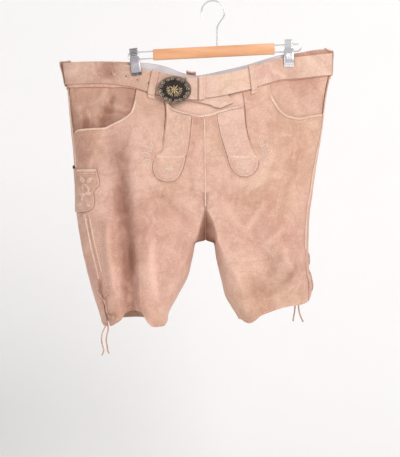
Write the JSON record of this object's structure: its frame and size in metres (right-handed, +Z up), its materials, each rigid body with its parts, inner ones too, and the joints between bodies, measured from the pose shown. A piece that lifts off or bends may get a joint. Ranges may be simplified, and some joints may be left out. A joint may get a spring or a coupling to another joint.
{
  "type": "lederhosen on a clip hanger",
  "caption": "Knee-length suede leather shorts with a front fall, laced knees, belt and oval buckle, hung by the waist from a wooden clip hanger.",
  "frame": {"origin": "inside top of the hanger's hook, where a rail carries it", "axes": "+Z up, -Y towards the front of the garment, +X towards the wearer's left"},
  "size_m": [0.5718, 0.1235, 0.7379],
  "materials": {
    "sand_suede": "napped suede, sand to rose",
    "pocket_suede": "darker napped suede",
    "lace_leather": "smooth round lace",
    "pale_lining": "plain woven cotton",
    "dark_horn": "polished horn",
    "black_enamel": "satin dark enamel",
    "old_gold": "antique gold",
    "old_silver": "antique silver",
    "hanger_wood": "clear lacquer",
    "chrome": "bright plated steel"
  },
  "bodies": {
    "root": {"front_right": "sand_suede", "front_left": "sand_suede", "back_right": "sand_suede", "back_left": "sand_suede", "waistband_front_right": "sand_suede", "waistband_front_left": "sand_suede", "waistband_back": "sand_suede", "belt": "sand_suede", "belt_keeper": "sand_suede", "belt_loop_front_right": "sand_suede", "belt_loop_front_left": "sand_suede", "belt_loop_back": "sand_suede", "belt_loop_side_right": "sand_suede", "belt_loop_side_left": "sand_suede", "pocket_welt_right": "sand_suede", "pocket_welt_left": "sand_suede", "fly_underlay": "sand_suede", "flap_tongue_right": "sand_suede", "flap_tongue_left": "sand_suede", "tongue_tip_right": "sand_suede", "tongue_tip_left": "sand_suede", "flap_top_binding": "sand_suede", "centre_front_welt": "sand_suede", "side_welt_right_upper": "sand_suede", "side_welt_right_lower": "sand_suede", "side_welt_left": "sand_suede", "knife_pocket": "sand_suede", "pocket_facing_right": "pocket_suede", "pocket_facing_left": "pocket_suede", "lace_right_over": "lace_leather", "lace_right_down": "lace_leather", "lace_knot_right": "lace_leather", "lace_end_right_1": "lace_leather", "lace_end_right_2": "lace_leather", "lace_left_loop": "lace_leather", "lace_left_run": "lace_leather", "lace_knot_left": "lace_leather", "lace_end_left_1": "lace_leather", "lace_end_left_2": "lace_leather", "waistband_lining": "pale_lining", "side_button": "dark_horn", "buckle_plate": "black_enamel", "buckle_bar": "black_enamel", "buckle_hook": "black_enamel", "buckle_rim": "old_gold", "buckle_flower": "old_gold", "buckle_scrolls": "old_silver", "hanger_bar": "hanger_wood", "hanger_hook": "chrome", "hanger_wire_right": "chrome", "hanger_wire_left": "chrome", "clip_right_front": "chrome", "clip_right_back": "chrome", "clip_left_front": "chrome", "clip_left_back": "chrome"}
  },
  "joints": []
}
